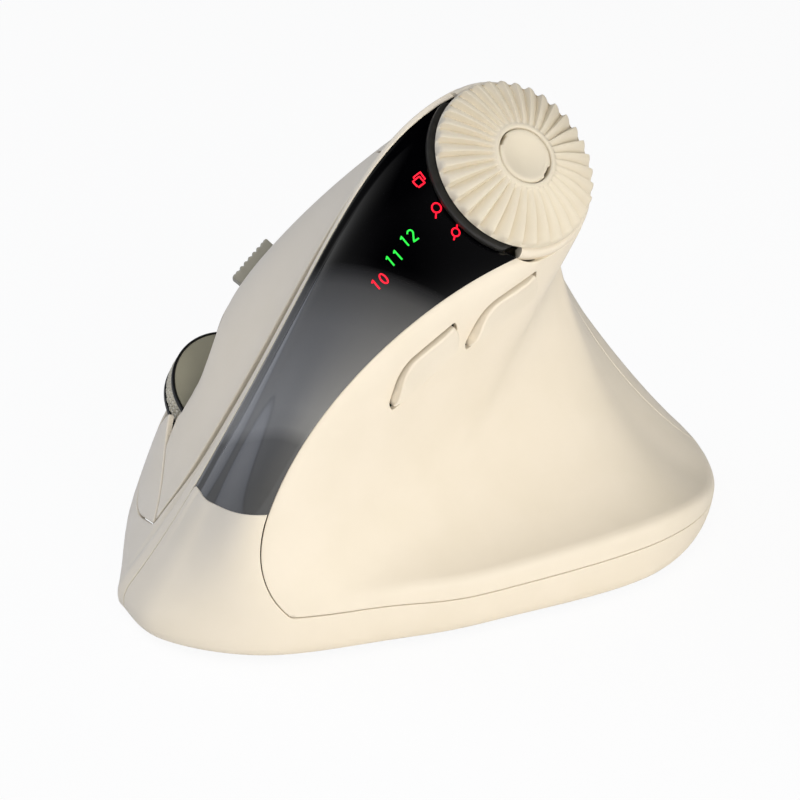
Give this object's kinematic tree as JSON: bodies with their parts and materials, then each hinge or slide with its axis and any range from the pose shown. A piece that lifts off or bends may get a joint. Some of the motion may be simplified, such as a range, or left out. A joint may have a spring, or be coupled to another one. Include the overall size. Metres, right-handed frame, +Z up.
{
  "type": "vertical ergonomic mouse",
  "caption": "Right-handed upright computer mouse with a tilted fluted dial, black display window, scroll wheel, finger buttons and thumb buttons.",
  "frame": {"origin": "on the desk, below the middle of the whole object's box", "axes": "+Y towards the nose, -X the thumb side, +Z up"},
  "size_m": [0.0867, 0.1166, 0.0832],
  "materials": {
    "cream_plastic": "fine matt moulded cream",
    "cream_knob": "satin cream",
    "black_gloss": "polished black",
    "diffuser": "matt",
    "dark_plastic": "matt black",
    "wheel_rubber": "knurled pale rubber",
    "wheel_disc": "satin olive grey",
    "steel": "turned",
    "board": "solder mask green",
    "cell": "foil",
    "glide": "slippery dark plastic",
    "clear": "clear lens",
    "red_plastic": "matt red"
  },
  "bodies": {
    "shell": {"palm_shell": "cream_plastic", "thumb_shell": "cream_plastic", "lower_shell": "cream_plastic", "display_lens": "black_gloss", "display_diffuser": "diffuser", "dial_bezel": "black_gloss", "dial_seat": "dark_plastic", "dial_shaft": "steel", "dial_encoder": "dark_plastic", "spine": "dark_plastic", "wheel_switch": "dark_plastic", "wheel_encoder": "dark_plastic", "left_switch": "dark_plastic", "right_switch": "dark_plastic", "res_switch": "dark_plastic", "finger_bracket": "board", "forward_switch": "dark_plastic", "back_switch": "dark_plastic", "thumb_bracket": "board", "base_plate": "dark_plastic", "base_screws": "steel", "foot_front": "glide", "foot_rear": "glide", "foot_left": "glide", "foot_right": "glide", "sensor_lens": "clear", "sensor_chip": "dark_plastic", "main_board": "board", "battery": "cell", "power_switch": "dark_plastic"},
    "left_button": {"left_button": "cream_plastic"},
    "right_button": {"right_button": "cream_plastic"},
    "res_button": {"res_button": "cream_plastic"},
    "wheel_carrier": {"wheel_yoke": "dark_plastic"},
    "wheel": {"wheel_tyre": "wheel_rubber", "wheel_hub": "wheel_disc", "wheel_axle": "steel"},
    "forward_button": {"forward_button": "cream_plastic"},
    "back_button": {"back_button": "cream_plastic"},
    "dial": {"dial_knob": "cream_knob"},
    "dial_cap": {"dial_cap": "cream_knob"},
    "power_slider": {"power_slider": "red_plastic"}
  },
  "joints": [
    {"name": "left_click", "type": "hinge", "parent": "shell", "child": "left_button", "pos_m": [0.03852, -0.00869, 0.03802], "axis": [-0.6428, 0, 0.766], "range_deg": [0, 0.9], "stiffness_Nm_per_rad": 6},
    {"name": "right_click", "type": "hinge", "parent": "shell", "child": "right_button", "pos_m": [0.03852, -0.00869, 0.03802], "axis": [-0.6428, 0, 0.766], "range_deg": [0, 0.9], "stiffness_Nm_per_rad": 6},
    {"name": "resolution_press", "type": "slide", "parent": "shell", "child": "res_button", "axis": [-0.6197, -0.5878, -0.52], "range_m": [0, 0.0005], "stiffness_N_per_m": 400},
    {"name": "wheel_press", "type": "slide", "parent": "shell", "child": "wheel_carrier", "axis": [-0.6197, -0.5878, -0.52], "range_m": [0, 0.0005], "stiffness_N_per_m": 900},
    {"name": "wheel_spin", "type": "hinge", "parent": "wheel_carrier", "child": "wheel", "pos_m": [0.02144, 0.02455, 0.02369], "axis": [-0.6428, 0, 0.766], "continuous": true},
    {"name": "forward_press", "type": "slide", "parent": "shell", "child": "forward_button", "axis": [0.9858, 0.0588, 0.1571], "range_m": [0, 0.0005], "stiffness_N_per_m": 400},
    {"name": "back_press", "type": "slide", "parent": "shell", "child": "back_button", "axis": [0.9737, 0.1034, 0.2028], "range_m": [0, 0.0005], "stiffness_N_per_m": 400},
    {"name": "dial_spin", "type": "hinge", "parent": "shell", "child": "dial", "pos_m": [-0.0195, -0.0064, 0.0717], "axis": [-0.766, 0, 0.6428], "continuous": true},
    {"name": "dial_press", "type": "slide", "parent": "dial", "child": "dial_cap", "axis": [0.766, 0, -0.6428], "range_m": [0, 0.0005], "stiffness_N_per_m": 400},
    {"name": "power_slide", "type": "slide", "parent": "shell", "child": "power_slider", "axis": [1, 0, 0], "range_m": [0, 0.0022]}
  ]
}
